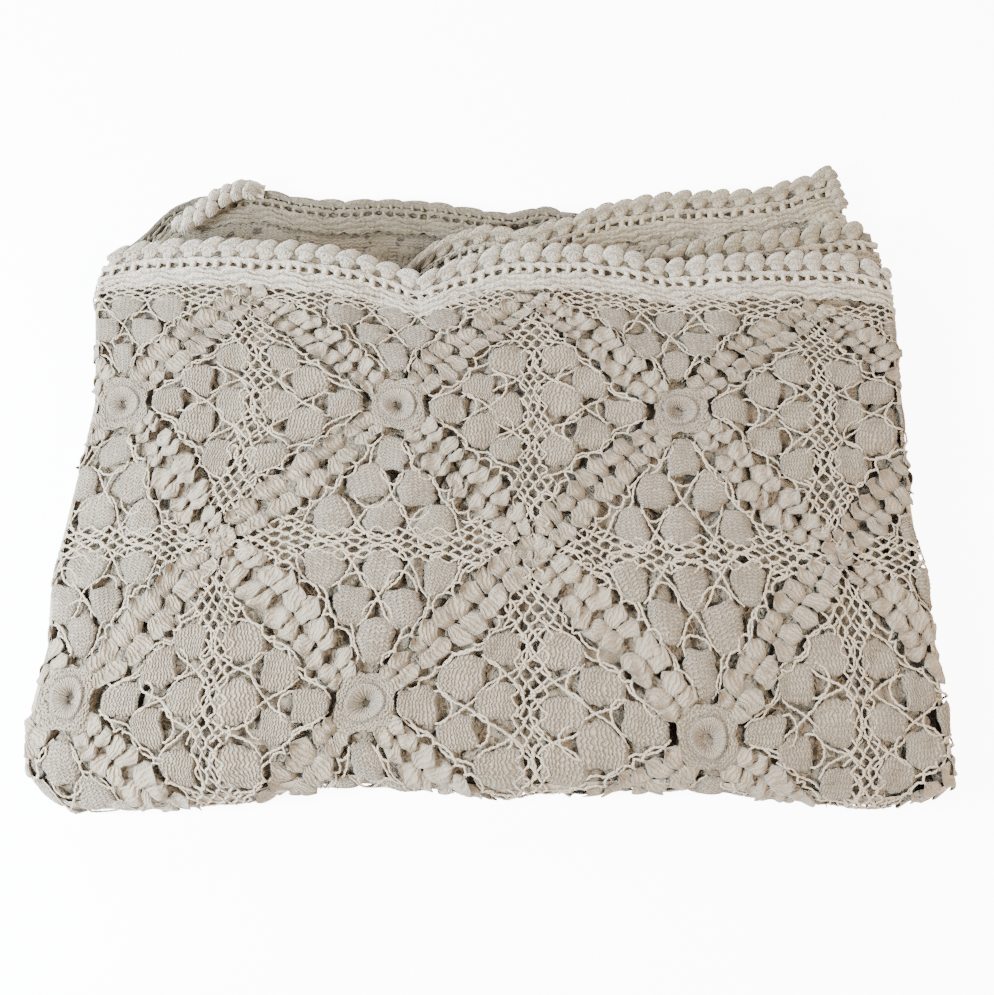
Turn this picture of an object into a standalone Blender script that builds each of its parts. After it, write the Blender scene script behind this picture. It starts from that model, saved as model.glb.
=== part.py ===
"""A crochet bedspread, folded back and forth from side to side and then doubled along its front.

Metres, +Z up, +X along the pile's width, -Y towards the doubled edge. The origin is the middle of the
flat underside.
"""
import math

import bpy
import numpy as np
from mathutils import Matrix

# The cloth and how it lies.
PLY_THICKNESS = 0.0030
PLY_GAP = 0.0016
PLY_PITCH = PLY_THICKNESS + PLY_GAP
PLIES_PER_HALF = 4                   # the pile is doubled, so its upper and lower half each have these
HALF_HEIGHT = PLIES_PER_HALF * PLY_PITCH - PLY_GAP / 2
HALF_WIDTH = 0.250
CLEAR = 0.004                        # stations nearer a run's end than this are left out
BEND_STEPS = 6
TURN_STEPS = 6
LEG_ROW_SHARES = (0.0, 0.06, 0.15, 0.28, 0.50, 0.75, 1.0)   # from a ply's edge to the doubled edge

# The edging worked on round the cloth.
EDGING_DEPTH = 0.026
EDGING_THICKNESS = 0.0024
PIECE_GAP = 0.0004
SCALLOP_PITCH = 0.0128
SCALLOP_HEIGHT = 0.0045
LEAST_STEP = 0.02                    # scallop stations nearer a column than this share are left out

# Path of the cloth through the upper half, from the tucked-in end to the innermost end. The lower half
# is its mirror image, joined to it round the front.
# level: plies out from the middle of the pile. start, end: places across, as shares of the half width.
# upper_step, lower_step: how far this run's edge in each half steps back, from the top ply's edge line
# (0) to the rearmost edge line (1). scallop_steps: steps in one scallop of the edging, or 0 for a plain
# edge.
RUN_FIELDS = ("level", "start", "end", "upper_step", "lower_step", "scallop_steps")
RUNS = [
    dict(zip(RUN_FIELDS, row))
    for row in (
        (2, 0.900, -0.982, 0.02, 0.48, 0),
        (3, -0.982, 0.972, 0.00, 1.00, 3),
        (1, 0.972, -0.978, 0.24, 0.95, 0),
        (0, -0.978, 0.930, 0.22, 0.52, 0),
    )
]

# The outline, as lines through these places.
# across: X of the station. top_edge: where the top ply's edge lies. rear_edge: where the rearmost
# ply's edge lies. front: where the doubled edge lies. rear_lift: rise of the rearmost edge.
ACROSS_FIELDS = ("across", "top_edge", "rear_edge", "front", "rear_lift")
ACROSS = [
    (-0.250, 0.127, 0.148, -0.190, 0.000),
    (-0.232, 0.131, 0.157, -0.205, 0.000),
    (-0.205, 0.132, 0.178, -0.207, 0.002),
    (-0.166, 0.132, 0.193, -0.204, 0.004),
    (-0.130, 0.131, 0.183, -0.200, 0.001),
    (-0.095, 0.126, 0.176, -0.192, 0.000),
    (-0.072, 0.121, 0.180, -0.191, 0.000),
    (-0.057, 0.113, 0.182, -0.192, 0.001),
    (-0.038, 0.121, 0.184, -0.193, 0.001),
    (0.000, 0.132, 0.178, -0.195, 0.000),
    (0.050, 0.134, 0.179, -0.192, 0.000),
    (0.080, 0.131, 0.187, -0.190, 0.001),
    (0.106, 0.126, 0.195, -0.190, 0.002),
    (0.154, 0.130, 0.197, -0.193, 0.003),
    (0.192, 0.132, 0.205, -0.196, 0.006),
    (0.206, 0.133, 0.213, -0.197, 0.009),
    (0.220, 0.133, 0.186, -0.195, 0.003),
    (0.236, 0.130, 0.170, -0.192, 0.000),
    (0.250, 0.127, 0.158, -0.180, 0.000),
]

# along: Y of the station. left, right: where the folded sides lie there.
ALONG_FIELDS = ("along", "left", "right")
ALONG = [
    (-0.215, -0.236, 0.248),
    (-0.185, -0.250, 0.253),
    (-0.160, -0.252, 0.250),
    (-0.120, -0.248, 0.249),
    (-0.086, -0.252, 0.249),
    (-0.040, -0.249, 0.244),
    (0.000, -0.246, 0.245),
    (0.020, -0.243, 0.246),
    (0.065, -0.249, 0.247),
    (0.097, -0.254, 0.248),
    (0.124, -0.253, 0.248),
    (0.150, -0.247, 0.241),
    (0.215, -0.236, 0.236),
]

# Rises and troughs of the pile, as shares of its height, each a soft round patch.
# across, along: its middle. half_across, half_along: its reach. share: the height it adds.
PATCH_FIELDS = ("across", "along", "half_across", "half_along", "share")
PATCHES = [
    dict(zip(PATCH_FIELDS, row))
    for row in (
        (-0.057, 0.135, 0.022, 0.050, -0.17),
        (-0.150, 0.120, 0.050, 0.060, 0.07),
        (0.030, 0.115, 0.050, 0.060, 0.08),
        (0.108, 0.135, 0.022, 0.035, -0.07),
        (0.170, 0.120, 0.045, 0.060, 0.06),
        (-0.230, -0.020, 0.040, 0.060, -0.05),
        (-0.060, -0.040, 0.080, 0.050, 0.04),
        (0.130, -0.060, 0.070, 0.050, 0.05),
        (0.020, -0.120, 0.030, 0.080, -0.04),
        (-0.150, -0.150, 0.050, 0.040, 0.04),
    )
]
EDGE_DROOP = 0.16
EDGE_DROOP_REACH = 0.030


def station(table, fields, where, name):
    """The named column of a table at a place, on straight lines between its stations."""
    places = [row[0] for row in table]
    values = [row[fields.index(name)] for row in table]
    return float(np.interp(where, places, values))


def height_share(across, along):
    """How much the pile's height is scaled at a place, so that its underside stays flat."""
    share = 1.0
    for patch in PATCHES:
        reach_across = (across - patch["across"]) / patch["half_across"]
        reach_along = (along - patch["along"]) / patch["half_along"]
        share += patch["share"] * math.exp(-(reach_across**2) - reach_along**2)
    front = station(ACROSS, ACROSS_FIELDS, across, "front")
    nearest_edge = min(HALF_WIDTH - abs(across), along - front)
    droop = EDGE_DROOP * math.exp(-max(nearest_edge, 0.0) / EDGE_DROOP_REACH)
    return share - droop


def settled(across, along, height):
    """A point of the neatly folded pile, where it ends up once the pile has settled."""
    left = station(ALONG, ALONG_FIELDS, along, "left")
    right = station(ALONG, ALONG_FIELDS, along, "right")
    middle = (left + right) / 2
    side = (right - left) / 2
    return np.array(
        [middle + side * across / HALF_WIDTH, along, height * height_share(across, along)]
    )


def level_height(level):
    """Height of a ply's middle above the middle of the pile."""
    return PLY_PITCH * (level + 0.5)


def path_columns():
    """Stations along the path: place, height, direction out of the path, edge steps and run there."""
    columns = []
    for run, after in zip(RUNS, RUNS[1:] + [None]):
        facing = 1.0 if run["end"] > run["start"] else -1.0
        steps = np.array([run["upper_step"], run["lower_step"]])
        height = level_height(run["level"])
        ends = (run["start"] * HALF_WIDTH, run["end"] * HALF_WIDTH)
        between = [row[0] for row in ACROSS if min(ends) + CLEAR < row[0] < max(ends) - CLEAR]
        for place in sorted([*ends, *between], reverse=facing < 0):
            columns.append((place, height, 0.0, facing, steps, run))
        if after is None:
            continue
        next_steps = np.array([after["upper_step"], after["lower_step"]])
        radius = (level_height(after["level"]) - height) / 2
        for count in range(1, BEND_STEPS):
            turned = count / BEND_STEPS
            angle = math.pi * turned
            columns.append((
                ends[1] + facing * abs(radius) * math.sin(angle),
                height + radius * (1 - math.cos(angle)),
                math.sin(angle) * (1.0 if radius < 0 else -1.0) * facing,
                facing * math.cos(angle),
                steps + (next_steps - steps) * turned,
                run,
            ))
    return columns


def edge_line(across, step_back):
    """Where a ply's edge lies, edging included."""
    top = station(ACROSS, ACROSS_FIELDS, across, "top_edge")
    rear = station(ACROSS, ACROSS_FIELDS, across, "rear_edge")
    return top + (rear - top) * step_back


def doubled_row(across, height, steps):
    """One face of the cloth at one station: back edge, over the top, round the front, and back below."""
    turn = station(ACROSS, ACROSS_FIELDS, across, "front") + HALF_HEIGHT
    upper_back, lower_back = (edge_line(across, step) - EDGING_DEPTH for step in steps)
    row = []
    for share in LEG_ROW_SHARES:
        row.append((upper_back + (turn - upper_back) * share, height))
    for count in range(1, TURN_STEPS):
        angle = math.pi * count / TURN_STEPS
        row.append((turn - height * math.sin(angle), height * math.cos(angle)))
    for share in reversed(LEG_ROW_SHARES):
        row.append((lower_back + (turn - lower_back) * share, -height))
    return [settled(across, along, HALF_HEIGHT + up) for along, up in row]


def strip_solid(name, outer, inner, material):
    """One closed solid between two grids of points, each a list of columns of points."""
    outer = np.array(outer)
    inner = np.array(inner)
    columns, rows = outer.shape[:2]
    points = np.concatenate([outer.reshape(-1, 3), inner.reshape(-1, 3)])
    under = columns * rows
    faces = []
    for column in range(columns - 1):
        for row in range(rows - 1):
            a = column * rows + row
            b = a + rows
            faces.append((a, b, b + 1, a + 1))
            faces.append((under + a, under + a + 1, under + b + 1, under + b))
        a = column * rows
        b = a + rows
        faces.append((a, under + a, under + b, b))
        a += rows - 1
        b += rows - 1
        faces.append((b, under + b, under + a, a))
    for row in range(rows - 1):
        a = row
        faces.append((a, a + 1, under + a + 1, under + a))
        a = (columns - 1) * rows + row
        faces.append((a + 1, a, under + a, under + a + 1))
    mesh = bpy.data.meshes.new(name)
    mesh.from_pydata([tuple(point) for point in points], [], faces)
    mesh.materials.append(material)
    mesh.shade_smooth()
    mesh.update()
    piece = bpy.data.objects.new(name, mesh)
    bpy.context.scene.collection.objects.link(piece)
    turn_outwards(mesh)
    return piece


def turn_outwards(mesh):
    """Flips a mesh whose faces point inwards."""
    mesh.calc_loop_triangles()
    volume = 0.0
    for triangle in mesh.loop_triangles:
        a, b, c = (mesh.vertices[index].co for index in triangle.vertices)
        volume += a.dot(b.cross(c))
    if volume < 0:
        mesh.flip_normals()


def cloth_material(name, colour):
    material = bpy.data.materials.new(name)
    material.use_nodes = True
    shader = material.node_tree.nodes["Principled BSDF"]
    shader.inputs["Base Color"].default_value = (*colour, 1.0)
    shader.inputs["Roughness"].default_value = 0.9
    shader.inputs["Metallic"].default_value = 0.0
    return material


def build_cloth(columns, material):
    """The motif cloth: one sheet, folded and doubled. Gives its two grids of points too."""
    grids = []
    for side in (1.0, -1.0):
        out = side * PLY_THICKNESS / 2
        grids.append(np.array([
            doubled_row(across + out * out_across, height + out * out_up, steps)
            for across, height, out_across, out_up, steps, _ in columns
        ]))
    sheet = strip_solid("bedspread_cloth", grids[0], grids[1], material)
    return sheet, grids


def edging_columns(columns, path):
    """Stations of the edging, as (position along the columns, share of the scallop height)."""
    lengths = np.concatenate([[0.0], np.cumsum(np.linalg.norm(np.diff(path, axis=0), axis=1))])
    stations = []
    for index in range(len(columns) - 1):
        steps = columns[index][5]["scallop_steps"]
        stations.append((float(index), 0.0))
        if steps == 0:
            continue
        first = math.ceil(lengths[index] / SCALLOP_PITCH * steps)
        last = math.floor(lengths[index + 1] / SCALLOP_PITCH * steps)
        for count in range(first, last + 1):
            inside = count * SCALLOP_PITCH / steps - lengths[index]
            share = inside / (lengths[index + 1] - lengths[index])
            if LEAST_STEP < share < 1 - LEAST_STEP:
                stations.append((index + share, 1.0 if count % steps == 0 else 0.0))
    stations.append((float(len(columns) - 1), 0.0))
    return stations


def build_edging(name, columns, faces, half, material):
    """The edging of one half: a strip along the cloth's edge, its free side a scalloped comb."""
    row = (0, -1)[half]
    outer_edge = faces[0][:, row]
    inner_edge = faces[1][:, row]
    index_of = np.arange(len(columns))
    step_back = np.array([column[4][half] for column in columns])
    outer_grid = []
    inner_grid = []
    for place, notch in edging_columns(columns, (outer_edge + inner_edge) / 2):
        outer = np.array([np.interp(place, index_of, outer_edge[:, axis]) for axis in range(3)])
        inner = np.array([np.interp(place, index_of, inner_edge[:, axis]) for axis in range(3)])
        middle = (outer + inner) / 2
        half = (outer - inner) / 2 * (EDGING_THICKNESS / PLY_THICKNESS)
        depth = EDGING_DEPTH - SCALLOP_HEIGHT * notch
        rise = station(ACROSS, ACROSS_FIELDS, middle[0], "rear_lift")
        rise *= float(np.interp(place, index_of, step_back)) ** 4
        start_share = height_share(middle[0], middle[1])
        end_share = height_share(middle[0], middle[1] + depth)
        start = middle + np.array([0.0, PIECE_GAP, 0.0])
        end = np.array([middle[0], middle[1] + depth, middle[2] * end_share / start_share + rise])
        outer_grid.append([start + half, end + half])
        inner_grid.append([start - half, end - half])
    return strip_solid(name, outer_grid, inner_grid, material)


def centre_on_origin(pieces):
    """Moves the pieces together, so that the origin is the middle of the pile's outline."""
    points = np.array([vertex.co[:2] for piece in pieces for vertex in piece.data.vertices])
    middle = (points.min(axis=0) + points.max(axis=0)) / 2
    for piece in pieces:
        piece.data.transform(Matrix.Translation((-middle[0], -middle[1], 0.0)))


def clear_scene():
    for piece in list(bpy.data.objects):
        bpy.data.objects.remove(piece, do_unlink=True)


def main():
    clear_scene()
    cloth = cloth_material("crochet_cotton", (0.66, 0.60, 0.50))
    edging = cloth_material("crochet_edging", (0.70, 0.64, 0.54))
    columns = path_columns()
    sheet, faces = build_cloth(columns, cloth)
    upper_edging = build_edging("edging_upper_half", columns, faces, 0, edging)
    lower_edging = build_edging("edging_lower_half", columns, faces, 1, edging)
    centre_on_origin([sheet, upper_edging, lower_edging])


main()
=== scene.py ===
"""Looks of the folded crochet bedspread: lace of stitched blocks, petals and chains laid on its folds."""
import math

import bpy
import numpy as np
from mathutils import Matrix, Vector


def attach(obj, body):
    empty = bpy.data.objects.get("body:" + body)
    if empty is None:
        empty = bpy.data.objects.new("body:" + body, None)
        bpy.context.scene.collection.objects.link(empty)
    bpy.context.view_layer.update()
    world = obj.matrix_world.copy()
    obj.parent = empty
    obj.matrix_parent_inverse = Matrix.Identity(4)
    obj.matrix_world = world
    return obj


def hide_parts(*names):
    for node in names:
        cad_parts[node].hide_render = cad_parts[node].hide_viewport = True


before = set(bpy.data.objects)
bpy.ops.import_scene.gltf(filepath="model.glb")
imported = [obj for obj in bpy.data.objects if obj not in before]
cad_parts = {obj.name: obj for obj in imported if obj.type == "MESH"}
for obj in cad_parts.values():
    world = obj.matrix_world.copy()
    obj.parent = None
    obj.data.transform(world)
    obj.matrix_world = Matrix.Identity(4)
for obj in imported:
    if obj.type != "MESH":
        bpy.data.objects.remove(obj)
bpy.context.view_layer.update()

# ---- how the cloth lies, as in the CAD
PLY_THICKNESS = 0.0030
PLY_GAP = 0.0016
PLY_PITCH = PLY_THICKNESS + PLY_GAP
PLIES_PER_HALF = 4
HALF_HEIGHT = PLIES_PER_HALF * PLY_PITCH - PLY_GAP / 2
HALF_WIDTH = 0.250
EDGING_DEPTH = 0.026

RUN_FIELDS = ("level", "start", "end", "upper_step", "lower_step")
RUNS = [
    dict(zip(RUN_FIELDS, row))
    for row in (
        (2, 0.900, -0.982, 0.02, 0.48),
        (3, -0.982, 0.972, 0.00, 1.00),
        (1, 0.972, -0.978, 0.24, 0.95),
        (0, -0.978, 0.930, 0.22, 0.52),
    )
]
ACROSS_FIELDS = ("across", "top_edge", "rear_edge", "front", "rear_lift")
ACROSS = np.array([
    (-0.250, 0.127, 0.148, -0.196, 0.000),
    (-0.232, 0.131, 0.157, -0.208, 0.000),
    (-0.205, 0.132, 0.178, -0.207, 0.002),
    (-0.166, 0.132, 0.193, -0.204, 0.004),
    (-0.130, 0.131, 0.183, -0.200, 0.001),
    (-0.095, 0.126, 0.176, -0.192, 0.000),
    (-0.072, 0.121, 0.180, -0.191, 0.000),
    (-0.057, 0.113, 0.182, -0.192, 0.001),
    (-0.038, 0.121, 0.184, -0.193, 0.001),
    (0.000, 0.132, 0.178, -0.195, 0.000),
    (0.050, 0.134, 0.179, -0.192, 0.000),
    (0.080, 0.131, 0.187, -0.190, 0.001),
    (0.106, 0.126, 0.195, -0.190, 0.002),
    (0.154, 0.130, 0.197, -0.193, 0.003),
    (0.192, 0.132, 0.205, -0.196, 0.006),
    (0.206, 0.133, 0.213, -0.197, 0.009),
    (0.220, 0.133, 0.186, -0.195, 0.003),
    (0.236, 0.130, 0.170, -0.192, 0.000),
    (0.250, 0.127, 0.158, -0.185, 0.000),
])
ALONG_FIELDS = ("along", "left", "right")
ALONG = np.array([
    (-0.215, -0.236, 0.248),
    (-0.185, -0.250, 0.253),
    (-0.160, -0.252, 0.250),
    (-0.120, -0.248, 0.249),
    (-0.086, -0.252, 0.249),
    (-0.040, -0.249, 0.244),
    (0.000, -0.246, 0.245),
    (0.020, -0.243, 0.246),
    (0.065, -0.249, 0.247),
    (0.097, -0.254, 0.248),
    (0.124, -0.253, 0.248),
    (0.150, -0.247, 0.241),
    (0.215, -0.236, 0.236),
])
# Soft rises and troughs: middle across and along, reach across and along, share of the height.
PATCHES = np.array([
    (-0.057, 0.135, 0.022, 0.050, -0.17),
    (-0.150, 0.120, 0.050, 0.060, 0.07),
    (0.030, 0.115, 0.050, 0.060, 0.08),
    (0.108, 0.135, 0.022, 0.035, -0.07),
    (0.170, 0.120, 0.045, 0.060, 0.06),
    (-0.230, -0.020, 0.040, 0.060, -0.05),
    (-0.060, -0.040, 0.080, 0.050, 0.04),
    (0.130, -0.060, 0.070, 0.050, 0.05),
    (0.020, -0.120, 0.030, 0.080, -0.04),
    (-0.150, -0.150, 0.050, 0.040, 0.04),
])
EDGE_DROOP = 0.16   # share of its height that the pile loses at its sides and front
EDGE_DROOP_REACH = 0.030
TURN_SPARE = 0.6 * PLY_THICKNESS   # the lace turns outside the middle of its ply
LOWEST = 0.0003   # height that no lace or edging goes below
CAD_SHIFT = (0.0012, -0.0030)   # the CAD is centred on the origin


def across_value(name, across):
    return np.interp(across, ACROSS[:, 0], ACROSS[:, ACROSS_FIELDS.index(name)])


def along_value(name, along):
    return np.interp(along, ALONG[:, 0], ALONG[:, ALONG_FIELDS.index(name)])


def height_share(across, along):
    share = np.ones_like(across)
    for middle_x, middle_y, reach_x, reach_y, amount in PATCHES:
        share = share + amount * np.exp(
            -(((across - middle_x) / reach_x) ** 2) - ((along - middle_y) / reach_y) ** 2
        )
    nearest = np.minimum(HALF_WIDTH - np.abs(across), along - across_value("front", across))
    return share - EDGE_DROOP * np.exp(-np.maximum(nearest, 0.0) / EDGE_DROOP_REACH)


def settled(across, along, height):
    left = along_value("left", along)
    right = along_value("right", along)
    x = (left + right) / 2 + (right - left) / 2 * across / HALF_WIDTH
    return np.stack(
        [x + CAD_SHIFT[0], along + CAD_SHIFT[1], height * height_share(across, along)], axis=-1
    )


def ply_height(level):
    """Height of the middle of a ply over the middle of the pile."""
    return PLY_PITCH * (level + 0.5)


def edge_line(across, step_back):
    """How far back a ply goes: step_back is 0 at the top edge and 1 at the rearmost."""
    top = across_value("top_edge", across)
    return top + (across_value("rear_edge", across) - top) * step_back


def on_ply(level, s, q, n):
    """World places for points of a ply: s across it, q along it, n out of its middle."""
    index = [run["level"] for run in RUNS].index(level)
    run = RUNS[index]
    facing = 1.0 if run["end"] > run["start"] else -1.0
    low, high = sorted((run["start"] * HALF_WIDTH, run["end"] * HALF_WIDTH))
    height = np.full_like(s, ply_height(level))
    x = np.clip(s, low, high)
    out_x = np.zeros_like(s)
    out_h = np.ones_like(s)
    for end, sign in ((low, -1.0), (high, 1.0)):
        other = index + (1 if facing == sign else -1)
        if not 0 <= other < len(RUNS):
            continue
        bend = (ply_height(RUNS[other]["level"]) - ply_height(level)) / 2
        radius = abs(bend)
        over = np.maximum((s - end) * sign, 0.0)
        angle = np.minimum(over / (radius + TURN_SPARE), math.pi)
        down = math.copysign(1.0, bend)
        x = x + sign * radius * np.sin(angle)
        height = height + down * radius * (1 - np.cos(angle))
        out_x = out_x + np.where(over > 0, -down * sign * np.sin(angle), 0.0)
        out_h = np.where(over > 0, np.cos(angle), out_h)
    x = x + n * out_x
    height = height + n * out_h
    turn = across_value("front", x) + HALF_HEIGHT
    angle = np.clip((turn - q) / ply_height(level), 0.0, math.pi)
    y = np.maximum(q, turn) - np.where(q < turn, height * np.sin(angle), 0.0)
    return settled(x, y, HALF_HEIGHT + np.where(q < turn, height * np.cos(angle), height))


# ---- the lace's plan
MOTIF = 0.17
# Where the motifs lie on the top ply: place in motifs, then in metres.
MOTIF_ACROSS = np.array([
    (-2.0, -0.312), (-1.5, -0.228), (-1.0, -0.150), (-0.5, -0.062), (0.0, 0.020),
    (0.5, 0.107), (1.0, 0.197), (1.5, 0.282),
])
MOTIF_ALONG = np.array([
    (-1.5, -0.328), (-1.0, -0.240), (-0.5, -0.150), (0.0, -0.060), (0.5, 0.029), (0.72, 0.065),
    (1.0, 0.100), (1.5, 0.165),
])
MOTIF_NUDGES = (   # a and b of the middle in motifs, shift across and along in metres
    (0.5, -0.5, 0.0090, -0.0115),
    (-0.5, -0.5, -0.0065, 0.0),
    (0.0, 0.0, 0.0055, 0.0),
    (-1.0, 0.0, -0.0040, 0.001),
)
NUDGE_REACH = 0.34
DRIFT = 0.0035   # slow unevenness of the lace in plan
CRUMPLE = 0.0022   # quicker unevenness in plan
SWELL = 0.0019   # slow rise and fall of the lace
PUCKER = 0.0012   # quicker rise and fall
PRESSED = 0.65   # share of its height that the lace loses at the front turn
PRESSED_FROM, PRESSED_OVER = -0.88, 0.08
TOP_LEVEL = 3

# Material places of a lace piece and of an edging.
CHAIN = 0
STITCH = 1
HOLLOW_SHADE = 2    # lace only: painted shade down the middle of a rosette
BACKING = 2   # edging only: the cloth behind its openings
SHELL = 3
BELOW = 4
CORD_SIDES = 6
CORD_LOOP = 0.002   # length of one loop of a cord
CHAIN_RADIUS = 0.00066
CHAIN_STEP = 0.0075   # between the rings of a chain, in motifs
SEAM_CHAIN_STEP = 0.0072
CHAIN_BEAD = 0.0145
CHAIN_WAVER = 0.0014


def wander(a, b, seed):
    """A soft uneven drift, from -1 to 1, over the cloth."""
    total = np.zeros_like(a)
    rng = np.random.default_rng(seed)
    for _ in range(5):
        angle = rng.uniform(0, 2 * math.pi)
        turns = rng.uniform(0.8, 2.6)
        phase = rng.uniform(0, 2 * math.pi)
        total = total + np.sin(turns * (a * math.cos(angle) + b * math.sin(angle)) * 2 + phase)
    return total / 5


def lay_motif(a, b, n):
    """World places for lace points: a across and b along in motifs, n metres above the cloth."""
    s = np.interp(a, *MOTIF_ACROSS.T) + DRIFT * wander(a * 2.2, b * 2.2, 3)
    q = np.interp(b, *MOTIF_ALONG.T) + DRIFT * wander(a * 2.2, b * 2.2, 5)
    s = s + CRUMPLE * wander(a * 6.5, b * 6.5, 15)
    q = q + CRUMPLE * wander(a * 6.5, b * 6.5, 17)
    for middle_a, middle_b, shift_s, shift_q in MOTIF_NUDGES:
        near = np.exp(-((a - middle_a) ** 2 + (b - middle_b) ** 2) / NUDGE_REACH**2)
        s = s + shift_s * near
        q = q + shift_q * near
    rise = SWELL * wander(a * 5, b * 5, 7) + PUCKER * wander(a * 12, b * 12, 9)
    pressed = 1 - PRESSED * np.clip((PRESSED_FROM - b) / PRESSED_OVER, 0, 1)
    return on_ply(TOP_LEVEL, s, q, (n + rise) * pressed)


def stacked(*layers):
    """Three arrays that broadcast together, as one array of rows x columns x 3."""
    return np.stack(np.broadcast_arrays(*layers), axis=-1)


def path_lengths(places):
    """Length in plan from the first place to each of them."""
    return np.concatenate([[0.0], np.cumsum(np.hypot(*np.diff(places[:, :2], axis=0).T))])


def steps(count):
    """Even steps from 0 to 1 down the rows of a grid."""
    return np.linspace(0, 1, count)[:, None]


def full_turn(count):
    """Angles round a closed grid, one for each of its columns."""
    return np.linspace(0, 2 * math.pi, count, endpoint=False)[None, :]


def cord_threads(along, turn):
    """Thread coordinates of a round cord: loops along it, the angle round it, and how far it faces up, for
    painted shade underneath.
    """
    return stacked(along / CORD_LOOP, turn / (2 * math.pi), 0.5 + 0.5 * np.sin(turn))


class Lace:
    """Collects stitched patches and cords, as places in plan with thread coordinates.

    A thread coordinate says how far along and across its stitches a point is, and how full and how lit the
    cloth is
    there, from 0 at an edge to 1: the materials paint shade where it is low.
    """

    def __init__(self):
        self.points = []
        self.threads = []
        self.faces = []
        self.kinds = []
        self.count = 0

    def add_grid(self, points, threads, kind, closed=False):
        """points and threads: rows x columns x 3. closed joins the columns round."""
        rows, columns = points.shape[:2]
        index = self.count + np.arange(rows * columns).reshape(rows, columns)
        if closed:
            index = np.concatenate([index, index[:, :1]], axis=1)
        corners = (index[:-1, :-1], index[:-1, 1:], index[1:, 1:], index[1:, :-1])
        faces = np.stack([corner.ravel() for corner in corners], axis=1)
        self.faces.append(faces)
        self.kinds.append(np.full(len(faces), kind))
        self.points.append(points.reshape(-1, 3))
        self.threads.append(threads.reshape(-1, 3))
        self.count += rows * columns

    def chain(self, plan, step=CHAIN_STEP):
        """A chain stitch cord through plan points (a, b, n): a and b in motifs, n in metres."""
        plan = np.asarray(plan, float)
        lengths = path_lengths(plan)
        count = max(2, int(round(lengths[-1] / step)) + 1)
        at = np.linspace(0, lengths[-1], count)
        a, b, n = (smooth_through(lengths, plan[:, axis], at)[:, None] for axis in range(3))
        tangent = np.stack([np.gradient(a[:, 0]), np.gradient(b[:, 0])], axis=1)
        tangent /= np.linalg.norm(tangent, axis=1)[:, None] + 1e-12
        side_a = -tangent[:, 1:]
        side_b = tangent[:, :1]
        at = at[:, None]
        from_end = np.minimum(at, lengths[-1] - at)
        waver = CHAIN_WAVER * np.sin(at * 270 + self.count) * np.clip(from_end / 0.01, 0, 1)
        turn = full_turn(CORD_SIDES)
        beads = 1 + 0.20 * np.sin(at / CHAIN_BEAD * 2 * math.pi)
        aside = waver + CHAIN_RADIUS / MOTIF * np.cos(turn) * beads
        up = CHAIN_RADIUS * 0.9 * np.sin(turn) * beads
        grid = stacked(a + side_a * aside, b + side_b * aside, n + up)
        self.add_grid(grid, cord_threads(at * MOTIF, turn), CHAIN, closed=True)

    def bar(self, start, end, radius):
        """A straight post, in metres, for the edging."""
        t = steps(4)
        centre = start + (end - start) * t
        turn = full_turn(CORD_SIDES)
        x = centre[:, :1] + radius * np.cos(turn)
        grid = stacked(x, centre[:, 1:2], centre[:, 2:] + radius * 0.8 * np.sin(turn))
        self.add_grid(grid, cord_threads(t * abs(end[1] - start[1]), turn), STITCH, closed=True)

    def mesh(self, name, place, materials):
        points = place(*np.concatenate(self.points).T)
        points[:, 2] = np.maximum(points[:, 2], LOWEST)
        return make_mesh(
            name, points, np.concatenate(self.faces), np.concatenate(self.threads),
            np.concatenate(self.kinds), materials,
        )


def smooth_through(knots, values, at):
    """Values on a smooth curve through the knots."""
    if len(knots) < 3:
        return np.interp(at, knots, values)
    slopes = np.gradient(values, knots)
    index = np.clip(np.searchsorted(knots, at) - 1, 0, len(knots) - 2)
    gap = knots[index + 1] - knots[index]
    t = (at - knots[index]) / gap
    return (
        (2 * t**3 - 3 * t**2 + 1) * values[index]
        + (t**3 - 2 * t**2 + t) * gap * slopes[index]
        + (3 * t**2 - 2 * t**3) * values[index + 1]
        + (t**3 - t**2) * gap * slopes[index + 1]
    )


def make_mesh(name, points, faces, threads, kinds, materials):
    mesh = bpy.data.meshes.new(name)
    mesh.vertices.add(len(points))
    mesh.vertices.foreach_set("co", points.astype(np.float32).ravel())
    mesh.loops.add(faces.size)
    mesh.loops.foreach_set("vertex_index", faces.astype(np.int32).ravel())
    mesh.polygons.add(len(faces))
    mesh.polygons.foreach_set("loop_start", np.arange(0, faces.size, 4, dtype=np.int32))
    mesh.polygons.foreach_set("loop_total", np.full(len(faces), 4, dtype=np.int32))
    for material in materials:
        mesh.materials.append(material)
    mesh.polygons.foreach_set("material_index", kinds.astype(np.int32))
    mesh.update(calc_edges=True)
    mesh.shade_smooth()
    layer = mesh.attributes.new("thread", "FLOAT_VECTOR", "POINT")
    layer.data.foreach_set("vector", threads.astype(np.float32).ravel())
    mesh.validate()
    piece = bpy.data.objects.new(name, mesh)
    bpy.context.scene.collection.objects.link(piece)
    return piece


# ---- parts of a motif, plan in motifs
BLOCK_WIDTHS = np.array([
    (0.0, 0.034), (0.10, 0.042), (0.25, 0.052), (0.5, 0.062), (0.75, 0.059), (0.9, 0.052), (1.0, 0.047),
])
PETAL_WIDTHS = np.array([
    (0.0, 0.017), (0.15, 0.0225), (0.35, 0.0305), (0.55, 0.0370), (0.70, 0.0360), (0.82, 0.0270),
    (0.93, 0.0140), (1.0, 0.002),
])
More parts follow.
